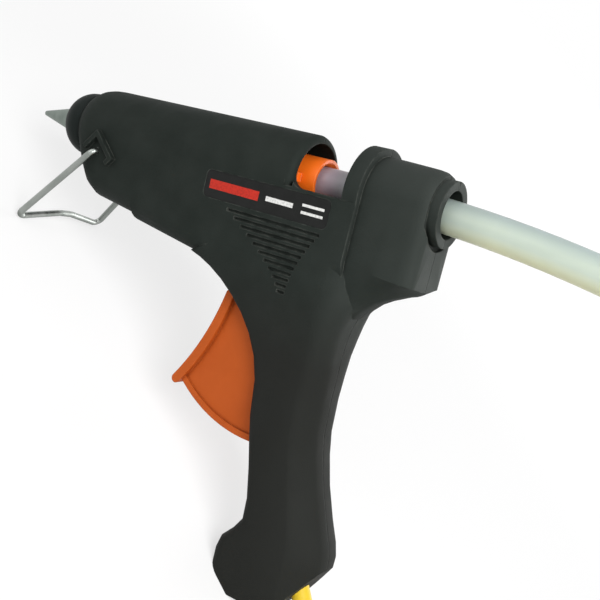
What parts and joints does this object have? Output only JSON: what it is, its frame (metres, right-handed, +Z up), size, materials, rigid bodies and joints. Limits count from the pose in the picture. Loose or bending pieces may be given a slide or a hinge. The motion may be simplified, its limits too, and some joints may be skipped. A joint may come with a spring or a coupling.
{
  "type": "hot glue gun",
  "caption": "Hot glue gun with a sprung trigger that feeds a glue stick through a heated nozzle, parked on its fold-out wire stand.",
  "frame": {"origin": "middle of the flat rest pad on the toe of the handle, on the seam of the housing, at table level", "axes": "+Z up from the table, -X toward the nozzle in plan, +Y to the right side of the gun; the gun is tipped nose-down by 38 degrees on its stand"},
  "size_m": [0.4261, 0.0518, 0.1898],
  "materials": {
    "black_plastic": "fine spark-eroded texture",
    "nose_plastic": "smooth moulded, heat resistant",
    "label_foil": "smooth printed foil, left bare",
    "orange_carrier": "moulded",
    "orange_trigger": "moulded",
    "nozzle_metal": "machined, dulled by heat",
    "steel_wire": "zinc plated",
    "steel": "plated",
    "glue": "milky, translucent",
    "heater_ceramic": "fired ceramic",
    "electrode": "sheet",
    "film": "polyimide film",
    "silicone": "silicone",
    "wire_cover": "insulated",
    "lead_yellow": "satin",
    "tie_black": "strap",
    "pin_brass": "nickel plated"
  },
  "bodies": {
    "gun": {"housing_left": "black_plastic", "housing_right": "black_plastic", "housing_screws": "steel", "label_plate": "label_foil", "nose_cap": "nose_plastic", "nozzle": "nozzle_metal", "melt_chamber": "nozzle_metal", "ptc_heater": "heater_ceramic", "heater_electrodes": "electrode", "heater_insulation": "film", "inlet_sleeve": "silicone", "sleeve_clamp": "steel_wire", "trigger_pin": "steel", "return_spring": "steel_wire", "lead_wires": "wire_cover", "cord_clamp": "black_plastic", "clamp_screws": "steel", "strain_relief": "lead_yellow", "power_cord": "lead_yellow", "cord_coil": "lead_yellow", "cord_tie": "tie_black", "plug_body": "lead_yellow", "plug_pins": "pin_brass"},
    "trigger": {"trigger": "orange_trigger", "link_pin": "steel"},
    "carrier": {"carrier": "orange_carrier", "grip_jaw": "steel"},
    "glue_stick": {"glue_stick": "glue"},
    "stand": {"stand": "steel_wire"}
  },
  "joints": [
    {"name": "trigger_squeeze", "type": "hinge", "parent": "gun", "child": "trigger", "pos_m": [-0.06597, 0, 0.07307], "axis": [0, -1, 0], "range_deg": [0, 22], "stiffness_Nm_per_rad": 0.4, "springref_deg": -17.19, "deforming": ["return_spring"]},
    {"name": "carrier_feed", "type": "slide", "parent": "gun", "child": "carrier", "axis": [-0.788, 0, -0.6157], "range_m": [0, 0.0111]},
    {"name": "stick_feed", "type": "slide", "parent": "gun", "child": "glue_stick", "axis": [-0.788, 0, -0.6157], "range_m": [0, 0.0111]},
    {"name": "stand_fold", "type": "hinge", "parent": "gun", "child": "stand", "pos_m": [-0.15642, 0, 0.04428], "axis": [0, -1, 0], "range_deg": [-30, 84]}
  ],
  "couplings": [
    {"joint": "carrier_feed", "follows": "trigger_squeeze", "m_per_rad": 0.02865},
    {"joint": "stick_feed", "follows": "trigger_squeeze", "m_per_rad": 0.02865}
  ]
}
